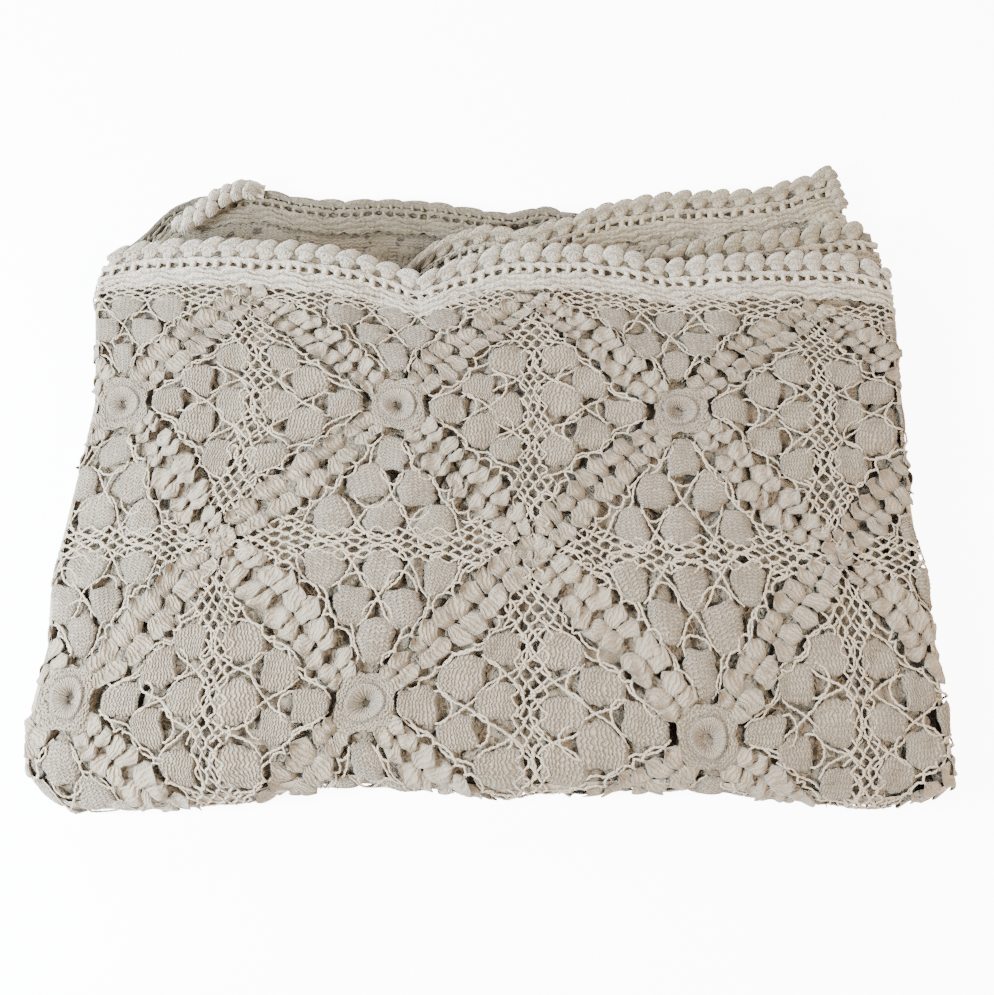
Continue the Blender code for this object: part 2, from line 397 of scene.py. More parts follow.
# A patch's half widths along it, its rows and columns of points, and how many ribs and rows of stitches.
BLOCK = {
    "widths": BLOCK_WIDTHS, "size": (33, 13), "ribs": 7, "ripples": 11.0, "fanned": False, "kind": STITCH,
}
BLOCK_BELOW = dict(BLOCK, size=(9, 7), ribs=5, ripples=6.0, kind=BELOW)
PETAL = {
    "widths": PETAL_WIDTHS, "size": (15, 13), "ribs": 4.5, "ripples": 0.9, "fanned": True, "kind": SHELL,
}


def patch(lace, make, base, direction, length, flare, profile, rng):
    """A stitched patch: base and unit direction in plan; profile(t, w) gives its height in metres.

    The fine rows run across it, or fan out along it.
    """
    rows, columns = make["size"]
    t = steps(rows)
    w = np.sin(np.linspace(-0.5, 0.5, columns) * math.pi)[None, :]
    phase = rng.uniform(0, 2 * math.pi, 3)
    ragged = 1 + 0.07 * np.sin(t * 9 + phase[0]) * np.sign(w) + 0.045 * np.sin(t * 21 + phase[1] + 2 * w)
    half = np.interp(t, *make["widths"].T) * flare * ragged
    height = profile(t, w)
    if make["fanned"]:
        foot_bow = -0.003
        rim = 3
        lines = (w + 1) / 2 * make["ribs"] + 0.25 * np.sin(t * 5 + phase[1])
        along = t * make["ripples"]
        crumples = 0.0009 * np.sin(w * 3.8 + t * 3 + phase[0]) * t
        crumples = crumples + 0.0005 * np.sin(t * 8 + w * 2 + phase[2])
    else:
        foot_bow = -0.008
        rim = 6
        lines = t * make["ripples"] + 0.22 * np.sin(w * make["ribs"] * 1.6 + phase[1])
        lines = lines + 0.35 * np.sin(w * 2.1 + t * 3 + phase[2])
        along = (w + 1) / 2 * make["ribs"]
        crumples = 0.00024 * np.sin(lines * 2 * math.pi) * (1 - w**4)
        crumples = crumples + 0.0005 * np.sin(w * 2.6 + t * 5 + phase[0]) * np.sin(t * 4 + phase[2])
    reach = t * length + foot_bow * (1 - w**2) * (1 - t) ** 3 + 0.003 * np.sin(w * 4 + phase[2]) * t
    grid = stacked(
        base[0] + direction[0] * reach + direction[1] * half * w,
        base[1] + direction[1] * reach - direction[0] * half * w,
        height + crumples,
    )
    # body: painted shade at the sides and both ends of the patch
    body = (1 - np.abs(w) ** rim) * np.minimum(1, 8 * t + 0.2) * np.minimum(1, 8 * (1 - t) + 0.2)
    lace.add_grid(grid, stacked(along, lines, body), make["kind"])


def block_profile(t, w):
    """A low dome, flat along most of the block and falling at both ends."""
    dome = np.clip(1 - np.abs(w) ** 5, 0, 1) ** 0.7
    ends = np.clip(np.minimum(t / 0.08, (1 - t) / 0.06), 0, 1) ** 0.6
    return -0.0007 + 0.0015 * dome * (0.35 + 0.65 * ends) + 0.0004 * np.cos(w * 1.5) * ends


def petal_profile(t, w, tilt, curl):
    """A flat shell that laps over the next one: one edge high, the other low, and a curled tip."""
    dome = np.clip(1 - np.abs(w) ** 8, 0, 1) ** 0.7
    end = np.clip((1 - t) / 0.08, 0, 1) ** 0.6
    crease = np.clip(1 - t / 0.20, 0, 1)
    return -0.0002 + tilt * w + 0.0008 * dome * (0.3 + 0.7 * end) + curl * t**2 - 0.0018 * crease


ROWS_OF_BLOCKS = (0.124, 0.238, 0.350)   # how far out the foot of each row is
CAP_RISES = (0.046, 0.046, 0.024)   # how far each row's chains arch over the top
BLOCK_LENGTH = 0.117
BLOCK_STRAY = 0.006   # how far a block strays from its place
BLOCK_LEAN = 0.11
BLOCK_PITCH = 0.182
PETALS_PER_SIDE = 11
FIRST_PETAL = 0.078
PETAL_STRAY = 0.0016
PETAL_LEAN, PAIR_LEAN, STRAY_LEAN = 0.60, 0.17, 0.12   # of a petal, of each from its pair, and by chance
PAIR_SHIFT = 0.20   # how much closer a pair's feet are, in pitches
PETAL_PITCH = 0.0405
PETAL_LENGTH = 0.080
STEM_HALF = 0.0005
ARCH_HEIGHT = 0.024
ARCH_INSIDE, ARCH_OUTSIDE = 0.014, 0.006   # how far in and out of a tip its arch ends
CHAIN_HEIGHT = 0.0006
CHAIN_DIVE = 0.0016   # how far a chain's ends sink, so that they join what they reach
BELOW_SINK = 0.0027   # of the blocks of the ply below
BELOW_PITCH = (0.125, 0.143)
QUARTER_TURNS = ((1, 0, 0, 1), (0, 1, -1, 0), (-1, 0, 0, -1), (0, -1, 1, 0))
LACE_ACROSS = (-1.70, 1.385)   # how far the lace that shows goes, in motifs
LACE_ALONG = (-0.99, 1.05)


def sector_frame(motif, quarter, x, r):
    """Plan place of a point that is x across and r out in one quarter of a motif."""
    turn = QUARTER_TURNS[quarter]
    return (motif[0] + turn[0] * x + turn[1] * r, motif[1] + turn[2] * x + turn[3] * r)


def inside(place):
    """Whether a place in plan is on the lace that shows."""
    return LACE_ACROSS[0] < place[0] < LACE_ACROSS[1] and LACE_ALONG[0] < place[1] < LACE_ALONG[1]


def sector_chain(lace, motif, quarter, places):
    """A chain through places of one quarter of a motif, where all of them are on the lace that shows."""
    last = len(places) - 1
    plan = [
        (*sector_frame(motif, quarter, x, r), CHAIN_HEIGHT - (CHAIN_DIVE if number in (0, last) else 0.0))
        for number, (x, r) in enumerate(places)
    ]
    if all(inside(place) for place in plan):
        lace.chain(plan)


def cap_chain(x, top, wide, rise, skew):
    """Places of the chain that arches over the top of a block."""
    return [
        (x - 0.047 * wide, top - 0.020), (x - 0.046, top + rise * 0.30),
        (x - 0.020 + skew, top + rise * 0.93), (x + 0.014 + skew, top + rise),
        (x + 0.044, top + rise * 0.35), (x + 0.047 * wide, top - 0.020),
    ]


def side_chain(x, r, sign, bulge, meets_next):
    """Places of the chain that goes from the foot of a block down one side, on to the next row."""
    if meets_next:
        outline = (
            (0.020, -0.008), (bulge - 0.012, 0.022), (bulge + 0.004, 0.054), (0.092, 0.090),
            (0.116, 0.120), (0.132, 0.142),
        )
    else:
        outline = (
            (0.020, -0.008), (bulge - 0.010, 0.024), (bulge + 0.006, 0.064), (0.080, 0.096), (0.116, 0.124),
        )
    return [(x + sign * aside, r + out) for aside, out in outline]


def build_blocks(lace, motif, quarter, rng):
    """Rows of one, two and three blocks, each with chains over its top and down its sides."""
    across = np.array(sector_frame((0, 0), quarter, 1, 0))
    out = np.array(sector_frame((0, 0), quarter, 0, 1))
    for row, foot in enumerate(ROWS_OF_BLOCKS):
        count = row + 1
        for place in range(count):
            x = (place - (count - 1) / 2) * BLOCK_PITCH + rng.normal(0, BLOCK_STRAY)
            r = foot + rng.normal(0, BLOCK_STRAY)
            lean = rng.normal(0, BLOCK_LEAN)
            direction = out * math.cos(lean) + across * math.sin(lean)
            base = sector_frame(motif, quarter, x, r)
            length = BLOCK_LENGTH * rng.uniform(0.92, 1.12)
            wide = rng.uniform(0.90, 1.16) * (0.88 if row == 0 else 1.0)
            if inside(base):
                patch(lace, BLOCK, base, direction, length, wide, block_profile, rng)
            rise = CAP_RISES[row] * rng.uniform(0.7, 1.15)
            skew = rng.normal(0, 0.005)
            cap = cap_chain(x + lean * length, r + length, wide, rise, skew)
            sector_chain(lace, motif, quarter, cap)
            for sign in (-1, 1):
                bulge = 0.066 * wide + rng.normal(0, 0.002)
                side = side_chain(x, r, sign, bulge, 0 <= place + sign < count)
                sector_chain(lace, motif, quarter, side)


def build_petals(lace, motif, quarter, rng):
    """Petals in pairs on the near side of both arms, with an arch from tip to tip."""
    across = np.array(sector_frame((0, 0), quarter, 1, 0))
    out = np.array(sector_frame((0, 0), quarter, 0, 1))
    for sign in (-1, 1):
        away = 1.0 if sector_frame((0, 0), quarter, sign, 1)[1] > 0 else -1.0
        tips = []
        for number in range(PETALS_PER_SIDE):
            pair = 1.0 if number % 2 else -1.0
            along = FIRST_PETAL + PETAL_PITCH * (number - PAIR_SHIFT * pair) + rng.normal(0, PETAL_STRAY)
            x = sign * (along + STEM_HALF)
            r = along - STEM_HALF
            lean = -sign * (PETAL_LEAN - PAIR_LEAN * pair + rng.normal(0, STRAY_LEAN))
            direction = out * math.cos(lean) + across * math.sin(lean)
            late = max(0, number - 7)
            grow = min(1.0, 0.78 + 0.07 * number) * (1 - 0.10 * late)
            length = PETAL_LENGTH * grow * rng.uniform(0.84, 1.14)
            base = sector_frame(motif, quarter, x, r)
            tilt = -away * sign * rng.uniform(0.0009, 0.0018)
            curl = rng.uniform(0.0004, 0.0020)
            if inside(base):
                patch(
                    lace, PETAL, base, direction, length, (0.62 + 0.38 * grow) * rng.uniform(0.92, 1.20),
                    lambda t, w: petal_profile(t, w, tilt, curl), rng,
                )
            flat = np.array([math.sin(lean), math.cos(lean)])
            if late < 3:
                tips.append((np.array([x, r]) + flat * length, flat, grow))
        for (tip, flat, grow), (later_tip, later_flat, _) in zip(tips, tips[1:]):
            height = ARCH_HEIGHT * grow * rng.uniform(0.8, 1.3)
            peak = (tip + later_tip) / 2 + (flat + later_flat) / 2 * height
            peak = peak + (later_tip - tip) * rng.uniform(-0.12, 0.12)
            sector_chain(lace, motif, quarter, [
                tuple(tip - flat * ARCH_INSIDE), tuple(tip + flat * ARCH_OUTSIDE), tuple(peak),
                tuple(later_tip + later_flat * ARCH_OUTSIDE), tuple(later_tip - later_flat * ARCH_INSIDE),
            ])


# How far from the seam its net reaches, in motifs, by how far along the seam it is.
NET_REACH = np.array([
    (0.0, 0.040), (0.05, 0.046), (0.091, 0.074), (0.13, 0.048), (0.185, 0.040), (0.225, 0.056),
    (0.265, 0.092), (0.30, 0.102), (0.34, 0.084), (0.39, 0.054), (0.45, 0.030), (0.5, 0.014),
])
NET_LINES = 7
NET_UPRIGHT = (0.0200, 0.0580)   # spacing of the lines and pitch of their waves, in motifs
NET_LEVEL = (0.0155, 0.0680)
NET_MEET = 0.54   # how far a wave goes towards the next line, in spacings
NET_TIGHT = 0.026   # reach below which the lines draw together
NET_STRAY = (0.0026, 0.0038)   # of a knot, across and along
NET_HEIGHTS = (0.0005, 0.0009)   # of the knots, in turn


def build_seam(lace, motif, upright, rng):
    """The net along one seam: wavy chains that touch in turn, so that they leave open diamonds."""
    spacing, pitch = NET_UPRIGHT if upright else NET_LEVEL
    for number in range(-NET_LINES, NET_LINES + 1):
        offset = number * spacing
        plan = []
        x = -0.5
        turn = number % 2
        while x <= 0.5 + pitch:
            reach = np.interp(abs(x), *NET_REACH.T)
            squeeze = min(1.0, reach / NET_TIGHT)
            r = offset * squeeze + spacing * NET_MEET * squeeze * (1 if turn else -1)
            place = (r + rng.normal(0, NET_STRAY[0]), x + rng.normal(0, NET_STRAY[1]))
            if not upright:
                place = place[::-1]
            knot = (motif[0] + place[0], motif[1] + place[1], NET_HEIGHTS[turn])
            shown = abs(offset) <= reach + spacing * 0.4 and x <= 0.5 and inside(knot)
            if shown:
                plan.append(knot)
            if (not shown or x + pitch / 2 > 0.5 + pitch) and plan:
                if len(plan) > 2:
                    for end in (0, -1):
                        plan[end] = (*plan[end][:2], plan[end][2] - CHAIN_DIVE)
                    lace.chain(plan, step=SEAM_CHAIN_STEP)
                plan = []
            x += pitch / 2
            turn = 1 - turn


ROSETTE_ROWS = 23
ROSETTE_COLUMNS = 126
DISH_ROWS = 12
DISH = 0.062   # radius of a rosette's pleated dish
DISH_PLEATS = 44
ROSETTE_HEIGHTS = np.array([   # radius in motifs, height in metres
    (0.008, -0.0036), (0.014, -0.0022), (0.027, -0.0006), (0.045, 0.0010), (0.054, 0.0016),
    (0.059, 0.0013), (0.065, 0.0002), (0.074, 0.0007), (0.092, 0.0008), (0.122, -0.0003),
])
GROOVE_AT = 0.065   # radius of the groove round the dish, darkened with painted shade
HOLLOW_SINK = -0.0030


def build_rosette(lace, motif, rng):
    """A pleated dish round a small hole, in a ring of solid stitches."""
    r = steps(ROSETTE_ROWS)
    split = r[DISH_ROWS, 0]
    angle = full_turn(ROSETTE_COLUMNS)
    phase = rng.uniform(0, 2 * math.pi, 3)
    hole = 0.010 + 0.004 * np.cos(5 * angle + phase[0]) + 0.002 * np.cos(9 * angle + phase[1])
    rim = 0.104 - 0.013 * np.cos(4 * angle) + 0.0025 * np.cos(13 * angle + phase[2])
    dished = r < split
    reach = np.where(
        dished, hole + (DISH - hole) * r / split, DISH + (rim - DISH) * (r - split) / (1 - split)
    )
    rings = reach / 0.0125 + 0.25 * np.sin(angle * 13 + phase[1]) + 0.2 * np.sin(angle * 5 + phase[2])
    pleats = angle / (2 * math.pi) * DISH_PLEATS + 0.2 * np.sin(reach * 150 + phase[1])
    gathers = 0.0005 * np.cos(21 * angle + phase[0]) * np.clip(1 - reach / 0.06, 0, 1)
    grid = stacked(
        motif[0] + reach * np.cos(angle), motif[1] + reach * np.sin(angle),
        np.interp(reach, *ROSETTE_HEIGHTS.T) + gathers,
    )
    # Painted shade: darker in the groove round the dish, towards the hole and at the rim.
    groove = 1 - 0.75 * np.exp(-(((reach - GROOVE_AT) / 0.005) ** 2))
    threads = stacked(
        np.where(dished, reach / 0.02, angle / (2 * math.pi) * 40),
        np.where(dished, pleats, rings),
        groove * np.clip((reach - hole) / 0.010, 0, 1) * np.clip((rim - reach) / 0.006, 0, 1),
    )
    lace.add_grid(grid[: DISH_ROWS + 1], threads[: DISH_ROWS + 1], SHELL, closed=True)
    lace.add_grid(grid[DISH_ROWS:], threads[DISH_ROWS:], STITCH, closed=True)
    # Painted shade: a near-black disc sunk below the hole.
    turn = full_turn(12)
    spot = steps(3) * (0.016 + 0.004 * np.cos(5 * turn + phase[0]))
    floor = stacked(motif[0] + spot * np.cos(turn), motif[1] + spot * np.sin(turn), HOLLOW_SINK)
    lace.add_grid(floor, np.zeros(floor.shape), HOLLOW_SHADE, closed=True)


def build_below(lace, motif, rng):
    """Coarse blocks of the next ply down, seen in shade through the open lace of one motif."""
    pitch_a, pitch_b = BELOW_PITCH
    for row in range(7):
        for place in range(8):
            a = motif[0] - 0.5 + (place + 0.5 * (row % 2)) * pitch_a + rng.normal(0, 0.010)
            b = motif[1] - 0.5 + row * pitch_b + rng.normal(0, 0.010)
            if not (inside((a, b)) and inside((a, b + 0.11))):
                continue
            lean = rng.normal(0, 0.25)
            direction = np.array([math.sin(lean), math.cos(lean)])
            length = 0.112 * rng.uniform(0.85, 1.1)
            patch(
                lace, BLOCK_BELOW, (a, b), direction, length, rng.uniform(0.8, 1.0),
                lambda t, w: block_profile(t, w) - BELOW_SINK, rng,
            )


def build_motif(name, motif, seed, materials):
    rng = np.random.default_rng(seed)
    lace = Lace()
    if inside(motif):
        build_rosette(lace, motif, rng)
    for quarter in range(4):
        build_blocks(lace, motif, quarter, rng)
        build_petals(lace, motif, quarter, rng)
    build_below(lace, motif, rng)
    build_seam(lace, (motif[0] + 0.5, motif[1]), True, rng)
    if motif[1] > 0:
        build_seam(lace, (motif[0], motif[1] - 0.5), False, rng)
        build_seam(lace, (motif[0], motif[1] + 0.5), False, rng)
    return lace.mesh(name, lay_motif, materials)


# ---- the edging
TUFT_PITCH = 0.0128
EYELET_PITCH = 0.0075
# Parts of a border, as distances in from its crest. Tufts: foot of the dome, tall, wide, high, spread of
# their pitch. Bands: inner, outer, wave. Openings: inner and outer end of the posts, their half width.
# Back and pleats: where the cloth behind starts, and how deep it is pleated.
TUFTED = {
    "back": 0.0070,
    "tufts": (0.0084, 0.0082, 0.0146, 0.0050, 1.0),
    "feet": (0.0080, 0.0148, 0.0058, 0.0028),
    "bands": ((0.0190, 0.0144, 0.0), (0.0335, 0.0217, 0.0020)),
    "openings": ((0.0230, 0.0177, 0.0017),),
    "pleats": 0.0,
}
LOW = dict(TUFTED, tufts=(0.0080, 0.0076, 0.0172, 0.0026, 1.08), pleats=0.0022)
CURLED = {
    "back": 0.0030,
    "tufts": (0.0052, 0.0046, 0.0250, 0.0016, 1.45),
    "feet": None,
    "bands": ((0.0056, 0.0030, 0.0), (0.0105, 0.0078, 0.0), (0.0240, 0.0128, 0.0016)),
    "openings": ((0.0084, 0.0052, 0.0011), (0.0134, 0.0100, 0.0011)),
    "pleats": 0.0,
}
PLEATS_FROM, PLEATS_MEET = 0.070, 0.236
BODY_FOOT = 0.034   # how far in from the crest the cloth behind a border goes on top
REAR_BODY_FOOT = 0.075   # and at the back, where it runs under the ply above
COLUMN_PITCH = 0.0015   # between the columns of points of a band
BODY_COLUMN_PITCH = 0.0030
BAND_ROW_PITCH = 0.00045
RIDGE_PITCH = 0.0034
BAND_HEIGHT = 0.0019
BAND_STITCH = 0.0031
BAND_NOTCH = 0.0006
END_DOMES = (0.010, 0.017, 0.024, 0.031)   # tufts down the end of a border, in from its crest
PATCH_PITCH, PATCH_DEPTH = 0.0215, 0.016
PATCH_HALVES = (0.0088, 0.0060)   # at its outer and inner end
CREST_OUT = 0.0085   # the tufts of the border on top stand out beyond its ply
DIP_SHIFT, DIP_AT, DIP_OVER = 0.009, -0.050, 0.060   # moves the dip of the border on top aside
END_SLANT, END_FROM, END_OVER = 0.009, -0.215, 0.035   # slants its left end
# Where each border's crest lies: height, lift of the crest, how far it fans at its right, (across, along).
CRESTS = {
    "edging_rear": (0.0034, 0.0050, 0.0, (
        (-0.250, 0.146), (-0.240, 0.155), (-0.232, 0.166), (-0.224, 0.178), (-0.213, 0.187),
        (-0.184, 0.196), (-0.157, 0.198), (-0.137, 0.193), (-0.110, 0.190), (-0.083, 0.192),
        (-0.049, 0.191), (-0.016, 0.186), (0.011, 0.185), (0.025, 0.189), (0.047, 0.185), (0.075, 0.183),
    )),
    "edging_second": (0.0112, 0.0018, 0.26, (
        (-0.075, 0.126), (-0.060, 0.140), (-0.047, 0.154), (-0.026, 0.166), (-0.008, 0.171), (0.016, 0.169),
        (0.032, 0.175), (0.047, 0.181), (0.064, 0.189), (0.091, 0.195), (0.120, 0.200), (0.144, 0.202),
        (0.185, 0.209), (0.205, 0.218), (0.219, 0.224),
    )),
    "edging_third": (0.0246, 0.0010, 0.10, (
        (0.070, 0.132), (0.085, 0.139), (0.100, 0.147), (0.113, 0.150), (0.143, 0.157), (0.169, 0.161),
        (0.202, 0.167), (0.225, 0.171), (0.238, 0.168),
    )),
}
FAN_FROM, FAN_OVER = 0.150, 0.070


def top_place(s, e, n):
    """Places points of the border on top: s across, e in from the crest, n up from the ply."""
    drift = 0.0012 * wander(s * 24, s * 3, 9)
    swell = 0.0008 * wander(s * 30, e * 20, 4) + 0.0005 * np.sin(s * 95)
    line = edge_line(s - DIP_SHIFT * np.exp(-(((s - DIP_AT) / DIP_OVER) ** 2)), 0.0) + CREST_OUT
    slant = END_SLANT * np.clip(1 - e / 0.030, 0, 1) * np.clip((END_FROM - s) / END_OVER, 0, 1)
    return on_ply(TOP_LEVEL, s + slant, line - e + drift, n + swell)


def crest_place(name):
    height, lift, fan, knots = CRESTS[name]
    knots = np.array(knots)

    def place(s, e, n):
        along = smooth_through(knots[:, 0], knots[:, 1], s) + 0.0008 * wander(s * 30, s * 3, 12)
        x = s + fan * e * np.clip((s - FAN_FROM) / FAN_OVER, 0, 1)
        curl = lift * np.clip(1 - e / EDGING_DEPTH, 0, 1) ** 1.5
        swell = 0.0012 * wander(s * 26, e * 30, 6)
        z = height + curl + swell + n
        return np.stack([x + CAD_SHIFT[0], along - e + CAD_SHIFT[1], np.maximum(z, 0.0004)], axis=-1)

    return place


def edging_band(lace, low, high, inner, outer, rows, wavy, notch):
    """A solid worked band of ridged rows between two distances in from the crest."""
    columns = max(4, int((high - low) / COLUMN_PITCH))
    s = np.linspace(low, high, columns)[None, :]
    t = steps(rows)
    notches = notch * np.cos(s / EYELET_PITCH * 2 * math.pi)
    foot = inner + wavy * np.abs(np.sin(s / 0.0262 * math.pi)) - notches
    outer = outer + notches + 0.0003 * np.sin(s * 310)
    ridges = max(1, int(round((inner - outer.mean()) / RIDGE_PITCH)))
    uneven = t + 0.07 * np.sin(s * 230 + t * 5) + 0.04 * np.sin(s * 590 + 2.0) + 0.05 * np.sin(s * 97)
    bulge = np.abs(np.sin(uneven * ridges * math.pi))
    bumps = (np.sin(s / BAND_STITCH * 2 * math.pi + 3 * t) + np.sin(s * 1333 + t * 9)) * 0.00016
    swell = 1 + 0.35 * np.sin(s * 210 + 4 * t)
    height = -0.0004 + BAND_HEIGHT * (0.25 + 0.75 * bulge) * swell + bumps
    rows_of_stitches = t * ridges * 2 + 0.2 * np.sin(s / (2 * BAND_STITCH) * 2 * math.pi)
    # Painted shade in the troughs between the ridges.
    threads = stacked(s / BAND_STITCH, rows_of_stitches, 0.02 + 0.98 * bulge**2)
    lace.add_grid(stacked(s, foot + (outer - foot) * t, height), threads, STITCH)


def edging_body(lace, low, high, inner, outer, pleats):
    """The cloth behind a border's openings and on below it, as far as it goes under the plies above."""
    columns = max(4, int((high - low) / BODY_COLUMN_PITCH))
    s = np.linspace(low, high, columns)[None, :]
    e = inner + (outer - inner) * steps(22)
    folds = np.sin(s * 150 + e * 330) + 0.6 * np.sin(s * 61 - e * 420 + 1.0)
    fanning = np.cos(np.arctan2(e - 0.018, PLEATS_MEET - s) * 46)
    pleated = np.clip((s - PLEATS_FROM) / 0.05, 0, 1) * np.clip((e - 0.024) / 0.006, 0, 1)
    height = -0.0012 + 0.0010 * folds * np.clip((e - 0.026) / 0.01, 0, 1) + pleats * fanning * pleated
    # Painted shade on the cloth behind the openings.
    threads = stacked(s / 0.0036, e / 0.0025, 0.02 + 0.88 * np.clip((e - 0.023) / 0.004, 0, 1))
    lace.add_grid(stacked(s, e, height), threads, BACKING)


def edging_dome(lace, s, e, wide, tall, lean, height, rng):
    """One rounded tuft: a puffed shell of fanned stitches that leans over the next."""
    t = steps(8)
    angle = full_turn(16)
    out = np.where(np.sin(angle) > 0, np.sin(angle), 0.26 * np.sin(angle))
    round_top = np.clip(1 - t**3, 0, 1) ** 0.55
    tilt = 1 - 0.28 * np.cos(angle) * t
    fluted = 1 + 0.10 * np.cos(angle * 9 + rng.uniform(0, 6)) * t**2
    grid = stacked(
        s + wide / 2 * np.cos(angle) * t + lean * out * t, e - tall * out * t,
        -0.0006 + height * round_top * tilt * fluted,
    )
    # Painted shade round the foot of the tuft.
    threads = stacked(t * 3 + rng.uniform(0, 1), angle / math.pi * 6, 0.12 + 0.88 * (1 - t**3))
    lace.add_grid(grid, threads, STITCH, closed=True)


def edging_foot(lace, s, outer, inner, wide, narrow, lean):
    """The gathered foot of a tuft, narrower towards the cloth, which leaves the small open corners."""
    t = steps(5)
    w = np.linspace(-1, 1, 7)[None, :]
    half = wide + (narrow - wide) * t
    grid = stacked(
        s + half * w + lean * (1 - t), outer + (inner - outer) * t,
        -0.0007 + 0.0016 * (1 - w**4) + 0.0002 * np.cos(w * 9),
    )
    # Painted shade down its sides and towards the cloth.
    threads = stacked((w + 1) * 2, t * 2, (0.15 + 0.85 * (1 - w**4)) * (1 - 0.4 * t))
    lace.add_grid(grid, threads, STITCH)


def add_tufts(lace, layout, low, high, rng, slope):
    """A run of tufts along a border's crest, with their gathered feet."""
    foot, tall, wide, thick, spread = layout["tufts"]
    s = low + 0.006
    while s < high - 0.004:
        lean = 0.0040 + rng.normal(0, 0.0014)
        edging_dome(
            lace, s, foot, wide * rng.uniform(0.90, 1.08), tall * rng.uniform(0.84, 1.10), lean,
            thick * rng.uniform(0.85, 1.15), rng,
        )
        if layout["feet"]:
            outer, inner, broad, narrow = layout["feet"]
            edging_foot(lace, s, outer, inner, broad, narrow * rng.uniform(0.85, 1.15), 0.0012)
        s += spread * TUFT_PITCH * rng.uniform(0.90, 1.08) * math.cos(math.atan(slope(s)))


def add_posts(lace, low, high, openings, rng):
    """Posts between the eyelets of a border."""
    for row, (inner, outer, half) in enumerate(openings):
        for number in range(int((high - low) / EYELET_PITCH)):
            s = low + (number + 0.3 + 0.5 * row) * EYELET_PITCH + rng.normal(0, 0.0004)
            start = np.array([s, inner, 0.0002])
            end = np.array([s + rng.normal(0, 0.0006), outer, 0.0002])
            lace.bar(start, end, half * rng.uniform(0.65, 1.3))


def add_patches(lace, low, high, rng):
    """A row of plain patches on the cloth behind a border."""
    s = low + 0.01
    while s < high:
        reach = BODY_FOOT + rng.uniform(0, 0.004)
        edging_foot(lace, s, reach, reach + PATCH_DEPTH, *PATCH_HALVES, 0.001)
        s += PATCH_PITCH * rng.uniform(0.85, 1.2)


def build_edging(name, place, layout, low, high, seed, materials, slope, at_rear=True):
    rng = np.random.default_rng(seed)
    lace = Lace()
    for inner, outer, wave in layout["bands"]:
        rows = max(6, int((inner - outer) / BAND_ROW_PITCH))
        edging_band(lace, low, high, inner, outer, rows, wave, BAND_NOTCH)
    add_posts(lace, low, high, layout["openings"], rng)
    add_tufts(lace, layout, low, high, rng, slope)
    body_foot = REAR_BODY_FOOT if at_rear else BODY_FOOT
    edging_body(lace, low + 0.002, high - 0.002, body_foot, layout["back"], layout["pleats"])
    if layout is LOW:
        for e in END_DOMES:
            edging_dome(lace, high - 0.002, e, 0.010, 0.007, 0.0, 0.0034, rng)
    if at_rear:
        add_patches(lace, low, high, rng)
    return lace.mesh(name, place, materials)


# The turned-over run of border at the back left: across, along, height of its middle.
TURNED_RUN = np.array([
    (-0.2135, 0.164, 0.0120), (-0.203, 0.1725, 0.0140), (-0.195, 0.1785, 0.0150), (-0.187, 0.1855, 0.0160),
    (-0.179, 0.1905, 0.0160), (-0.170, 0.1940, 0.0140), (-0.160, 0.1935, 0.0100),
])
TURNED_PITCH = 0.0098
TURNED_ROWS = ((0.0012, 0.001), (0.0066, 0.005))   # foot of the tufts across, start along
TURNED_TUFT = (0.0112, 0.0076, 0.0030, 0.0052)   # wide, tall, lean, high
TURNED_BAND = (0.0062, -0.0050)   # both edges of the band, across the run
TURNED_CROWN = 20   # how fast the run falls off to both sides


def turned_place(s, e, n):
    """Places points along the turned-over run: s metres along it, e across it, n up."""
    lengths = path_lengths(TURNED_RUN)
    at = np.clip(s, 0.0, lengths[-1])
    x, y, z = (smooth_through(lengths, TURNED_RUN[:, axis], at) for axis in range(3))
    slope_x, slope_y = (
        np.interp(at, lengths, np.gradient(TURNED_RUN[:, axis], lengths)) for axis in range(2)
    )
    size = np.hypot(slope_x, slope_y)
    past = s - at
    return np.stack([
        x + (slope_y * e + slope_x * past) / size + CAD_SHIFT[0],
        y - (slope_x * e - slope_y * past) / size + CAD_SHIFT[1],
        z + n - TURNED_CROWN * e**2,
    ], axis=-1)


def build_turned(name, seed, materials):
    """Two rows of tufts back to back, on the worked band that is folded over there."""
    rng = np.random.default_rng(seed)
    lace = Lace()
    length = float(path_lengths(TURNED_RUN)[-1])
    wide, tall, lean, high = TURNED_TUFT
    edging_band(lace, -0.002, length + 0.001, *TURNED_BAND, 14, 0.0, BAND_NOTCH / 2)
    for foot, start in TURNED_ROWS:
        s = start
        while s < length:
            edging_dome(
                lace, s, foot, wide * rng.uniform(0.9, 1.1), tall * rng.uniform(0.85, 1.1), lean,
                high * rng.uniform(0.8, 1.15), rng,
            )
            s += TURNED_PITCH * rng.uniform(0.88, 1.1)
    return lace.mesh(name, turned_place, materials)


# ---- materials
def new_material(name):
    material = bpy.data.materials.new(name)
    material.use_nodes = True
    return material, material.node_tree, material.node_tree.nodes["Principled BSDF"]


def add_math(tree, kind, *values):
    node = tree.nodes.new("ShaderNodeMath")
    node.operation = kind
    for index, value in enumerate(values):
        if isinstance(value, (int, float)):
            node.inputs[index].default_value = value
        else:
            tree.links.new(value, node.inputs[index])
    return node.outputs[0]


def add_mix(tree, factor, first, second):
    node = tree.nodes.new("ShaderNodeMix")
    node.data_type = "RGBA"
    for index, value in ((0, factor), (6, first), (7, second)):
        if isinstance(value, (int, float)):
            node.inputs[index].default_value = value
        elif isinstance(value, tuple):
            node.inputs[index].default_value = (*value, 1.0)
        else:
            tree.links.new(value, node.inputs[index])
    return node.outputs[2]


def add_noise(tree, scale, detail=2.0):
    node = tree.nodes.new("ShaderNodeTexNoise")
    node.inputs["Scale"].default_value = scale
    node.inputs["Detail"].default_value = detail
    place = tree.nodes.new("ShaderNodeTexCoord").outputs["Object"]
    tree.links.new(place, node.inputs["Vector"])
    return node.outputs["Fac"]
